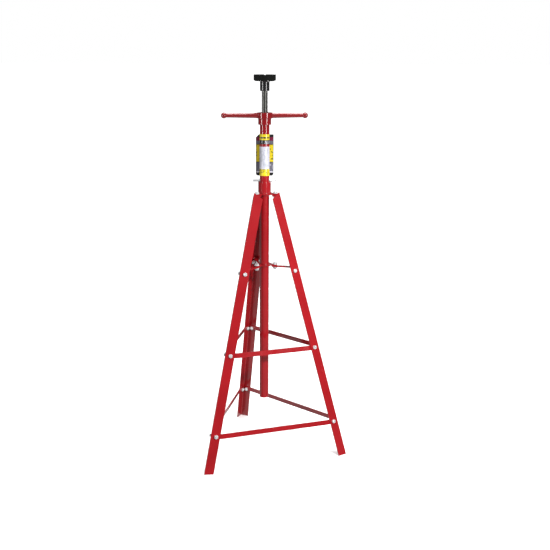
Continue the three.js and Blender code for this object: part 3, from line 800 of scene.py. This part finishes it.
def make_post(paint):
    """The tube, drilled right through for the lock pin at every pitch."""
    low, high = heights_of("post_tube")
    bore = POST_R - POST_WALL
    profile = [(bore, low), (POST_R, low), (POST_R, high), (bore, high)]
    post = turned_object("post_tube_fine", profile, paint)
    across = Matrix.Rotation(POST_TURN, 4, "Z") @ Matrix.Rotation(math.pi / 2, 4, "Y")
    radius, reach = PIN_HOLE_D / 2, 2 * POST_R
    bm = bmesh.new()
    for i in range(PIN_HOLE_COUNT):
        place = Matrix.Translation((0, 0, PIN_HEIGHT - i * PIN_HOLE_PITCH))
        profile = [(0, -reach), (radius, -reach), (radius, reach), (0, reach)]
        add_turned(bm, profile, AXIS @ place @ across, BOLT_ROUND)
    combine(post, "DIFFERENCE", mesh_object("pin_holes", bm, paint))
    add_bevel(post, 0.4 * MM, segments=2, angle=60)
    stand_for(post, "post", "red_paint", "post_tube")


def make_cup(paint):
    """The bearing's housing, which fits over the top of the post and rests on it."""
    low, high = heights_of("bearing_cup")
    floor = heights_of("post_tube")[1] + FIT
    bore = SCREW_R + SCREW_FIT
    profile = [
        (bore, floor),
        (POST_R + FIT, floor),
        (POST_R + FIT, low),
        (CUP_R, low),
        (CUP_R, high),
        (POCKET_R, high),
        (POCKET_R, floor + CUP_FLOOR_T),
        (bore, floor + CUP_FLOOR_T),
    ]
    cup = turned_piece("bearing_cup_fine", profile, paint, bevel=0.5 * MM)
    stand_for(cup, "post", "red_paint", "bearing_cup")


def arm_profile():
    """Half the outline of an arm, as (radius, distance out) points: a taper that swells where it
    leaves the hub, and the ball on its end."""
    ball_x = HANDLE_REACH - HANDLE_BALL_R
    neck = math.sqrt(HANDLE_BALL_R**2 - HANDLE_TIP_R**2)
    profile = [(0, ARM_START)]
    for i in range(ARM_STEPS + 1):
        share = i / ARM_STEPS
        along = ARM_START + share * (ball_x - neck - ARM_START)
        past_hub = (along - HUB_R) / ARM_FLARE_LENGTH
        flare = ARM_FLARE * math.exp(-past_hub) if past_hub > 0 else 0
        profile.append((HANDLE_ROOT_R + (HANDLE_TIP_R - HANDLE_ROOT_R) * share + flare, along))
    sweep = math.pi - math.asin(HANDLE_TIP_R / HANDLE_BALL_R)
    for i in range(1, ARM_STEPS):
        angle = sweep * (1 - i / ARM_STEPS)
        profile.append((HANDLE_BALL_R * math.sin(angle), ball_x + HANDLE_BALL_R * math.cos(angle)))
    profile.append((0, HANDLE_REACH))
    return profile


def make_handle(paint):
    """One casting: a hub bored for the screw, with two arms."""
    low, high = heights_of("spin_handle")
    centre = AXIS @ Matrix.Translation((0, 0, (low + high) / 2))
    profile = [(0, low), (HUB_R, low), (HUB_R, high), (0, high)]
    hub = turned_object("spin_handle_fine", profile, paint)
    add_bevel(hub, 1.6 * MM, segments=4)
    for side in (0, math.pi):
        turn = Matrix.Rotation(HANDLE_TURN + side, 4, "Z") @ Matrix.Rotation(math.pi / 2, 4, "Y")
        combine(hub, "UNION", turned_object("arm", arm_profile(), paint, centre @ turn, ARM_ROUND, 60))
    bore, below, above = SCREW_R + SCREW_FIT, low - PAST, high + PAST
    profile = [(0, below), (bore, below), (bore, above), (0, above)]
    combine(hub, "DIFFERENCE", turned_object("bore", profile, paint, smooth_angle=None))
    stand_for(hub, "handle", "red_paint", "spin_handle")


def make_screw(steel):
    """A right-hand trapezoid thread swept as one helix from its (radius, share of the lead) outline,
    cut off square at the top and above the foot that carries the stop ring."""
    low, high = heights_of("lift_screw")
    root = SCREW_R - THREAD_DEPTH
    outline = [(root, 0.0), (root, 0.37), (SCREW_R, 0.50), (SCREW_R, 0.87), (root, 1.0)]
    thread_low = low + STOP_LENGTH
    start = thread_low - 1.5 * SCREW_LEAD
    turns = math.ceil((high - thread_low) / SCREW_LEAD) + 3  # some to spare for the cuts
    bm = bmesh.new()
    columns = []
    for i in range(turns * ROUND + 1):
        angle = 2 * math.pi * i / ROUND
        base = start + SCREW_LEAD * i / ROUND
        points = [
            Vector((r * math.cos(angle), r * math.sin(angle), base + SCREW_LEAD * share))
            for r, share in outline
        ]
        columns.append([bm.verts.new(AXIS @ point) for point in points])
    for first, second in zip(columns, columns[1:]):
        for k in range(len(outline) - 1):
            bm.faces.new([first[k], second[k], second[k + 1], first[k + 1]])
    bmesh.ops.remove_doubles(bm, verts=bm.verts, dist=1e-6)
    for height, normal in ((thread_low, (0, 0, -1)), (high, (0, 0, 1))):
        geometry = bm.verts[:] + bm.edges[:] + bm.faces[:]
        cut_edges = bmesh.ops.bisect_plane(
            bm, geom=geometry, plane_co=(0, 0, height), plane_no=normal, clear_outer=True
        )["geom_cut"]
        bmesh.ops.holes_fill(bm, edges=[e for e in cut_edges if isinstance(e, bmesh.types.BMEdge)])
    foot = SCREW_R - STOP_STEP
    add_turned(bm, [(0, low), (foot, low), (foot, thread_low + FIT), (0, thread_low + FIT)], AXIS)
    screw = mesh_object("lift_screw_fine", bm, steel, 35)
    stand_for(screw, "screw", "screw_steel", "lift_screw")


def make_hidden_steel(material):
    """The bearing and the stop ring, which stay as the CAD made them but for rounded edges."""
    for name in ("bearing_lower_race", "bearing_upper_race", "bearing_ball_cage", "screw_stop_ring"):
        finish_cad_node(name, material, bevel=0.3 * MM)


# ---- saddle ----------------------------------------------------------------------------


def make_saddle_socket(paint):
    """The socket over the end of the screw, flared out under the plate that carries the pad."""
    low, high = heights_of("saddle_socket")
    roof = heights_of("lift_screw")[1] + FIT
    bore = SCREW_R + SOCKET_FIT
    under = high - SADDLE_PLATE_T
    profile = [
        (0, roof),
        (bore, roof),
        (bore, low),
        (SOCKET_R, low),
        (SOCKET_R, under - SOCKET_FILLET),
        (SOCKET_R + SOCKET_FILLET, under),
        (SADDLE_PLATE_R, under),
        (SADDLE_PLATE_R, high),
        (0, high),
    ]
    socket = turned_piece("saddle_socket_fine", profile, paint, bevel=0.6 * MM)
    stand_for(socket, "saddle", "black_paint", "saddle_socket")


def groove_cutter(matrix, rubber):
    """A V-shaped bar along the matrix's X, whose point is GROOVE_DEPTH below its Z = 0."""
    reach = PAD_R + PAST
    vee = ((-GROOVE_HALF, GROOVE_DEPTH), (0, -GROOVE_DEPTH), (GROOVE_HALF, GROOVE_DEPTH))
    bm = bmesh.new()
    ends = [[bm.verts.new(matrix @ Vector((x, y, z))) for y, z in vee] for x in (-reach, reach)]
    bm.faces.new(ends[0])
    bm.faces.new(ends[1])
    for k in range(len(vee)):
        m = (k + 1) % len(vee)
        bm.faces.new([ends[0][k], ends[0][m], ends[1][m], ends[1][k]])
    return mesh_object("groove", bm, rubber)


def make_saddle_pad(rubber):
    """The pad, recessed under to sit over the saddle's plate, with two crossed grooves."""
    low, high = heights_of("saddle_pad")
    rim = SADDLE_PLATE_R + FIT
    seat = heights_of("saddle_socket")[1] + FIT
    profile = [(0, seat), (rim, seat), (rim, low), (PAD_R, low), (PAD_R, high), (0, high)]
    pad = turned_object("saddle_pad_fine", profile, rubber)
    add_bevel(pad, PAD_EDGE, segments=4)
    for turn in (POST_TURN, POST_TURN + math.pi / 2):
        place = AXIS @ Matrix.Translation((0, 0, high)) @ Matrix.Rotation(turn, 4, "Z")
        combine(pad, "DIFFERENCE", groove_cutter(place, rubber))
    add_bevel(pad, 0.4 * MM, segments=2, angle=30)
    stand_for(pad, "saddle", "pad_rubber", "saddle_pad")


# ---- lock pin --------------------------------------------------------------------------


def make_lock_pin(chrome):
    shading = smooth_shading()
    finish_cad_node("lock_pin", chrome, bevel=0.3 * MM, shading=shading)
    finish_cad_node("pin_ring", chrome, bevel=0.05 * MM, shading=shading)


# ---- labels ----------------------------------------------------------------------------


def make_sticker():
    bands = [(0, YELLOW), (26.6, WHITE), (115.5, RED), (124.8, BLACK), (140.8, YELLOW)]
    marks = [
        (3, 26.6, 6.0, 0.50, BLACK),
        (34, 109, 5.0, 0.48, FAINT),
        (127.3, 137.8, 4.0, 0.47, WHITE),
        (140.8, 160, 13.4, 0.43, BLACK),
    ]
    paper = printed("sticker_print", "post_sticker", bands, marks)
    finish_cad_node("post_sticker", paper, bevel=0.1 * MM)


def make_card():
    bands = [
        (0, BLACK),
        (12.1, WHITE),
        (17.7, GREY),
        (52.8, BLACK),
        (55.5, YELLOW),
        (122.9, BLACK),
        (125.7, GREY),
        (139.2, MAROON),
        (153, BLACK),
    ]
    marks = [(60, 118, 13.0, 0.62, BLACK), (22, 48, 4.0, 0.56, WHITE)]
    card = printed("card_print", "label_card", bands, marks, border=(1.6, BLACK))
    finish_cad_node("label_card", card, bevel=0.1 * MM)


# ---- assembly --------------------------------------------------------------------------

make_camera()
make_floor(floor_paint())
make_lights()
make_world()

enamel = red_enamel()
make_tripod(enamel)
make_bolts(zinc_plate())
make_post(enamel)
make_cup(enamel)
make_handle(enamel)
make_screw(machined_steel("screw_steel", (0.11, 0.11, 0.104), (0.16, 0.16, 0.15), (1, 1, 30)))
make_hidden_steel(machined_steel("bearing_steel", (0.35, 0.35, 0.35), (0.60, 0.60, 0.60), (1, 1, 20)))
make_saddle_socket(black_enamel())
make_saddle_pad(moulded_rubber())
make_lock_pin(chrome_plate())
make_sticker()
make_card()
